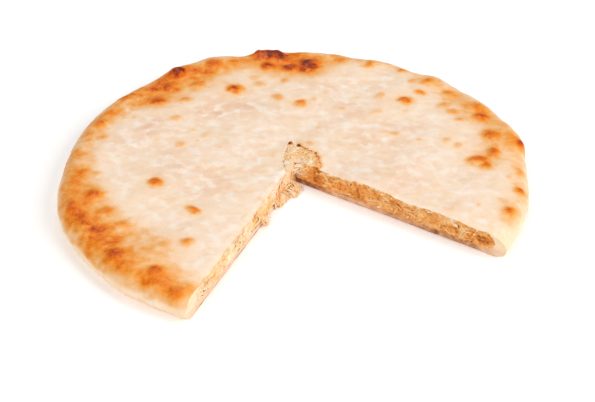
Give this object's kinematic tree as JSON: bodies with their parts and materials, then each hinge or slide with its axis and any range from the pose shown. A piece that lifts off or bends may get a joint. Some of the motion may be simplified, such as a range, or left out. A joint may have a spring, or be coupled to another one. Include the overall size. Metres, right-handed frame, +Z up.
{
  "type": "ossetian pie",
  "caption": "Round flat filled bread with a wedge cut out, its bottom crust, rim and thin top crust wrapped round a shredded filling.",
  "frame": {"origin": "on the flat underside, below the middle of the pie's bounding box", "axes": "+Z up through the top crust; -Y towards the side where the wedge is missing"},
  "size_m": [0.3278, 0.3174, 0.0202],
  "materials": {
    "crust": "pale baked dough with golden brown blisters and a thin film of butter",
    "filling": "moist shredded cabbage and cheese with herb flecks"
  },
  "bodies": {
    "root": {"dough": "crust", "filling": "filling"}
  },
  "joints": []
}
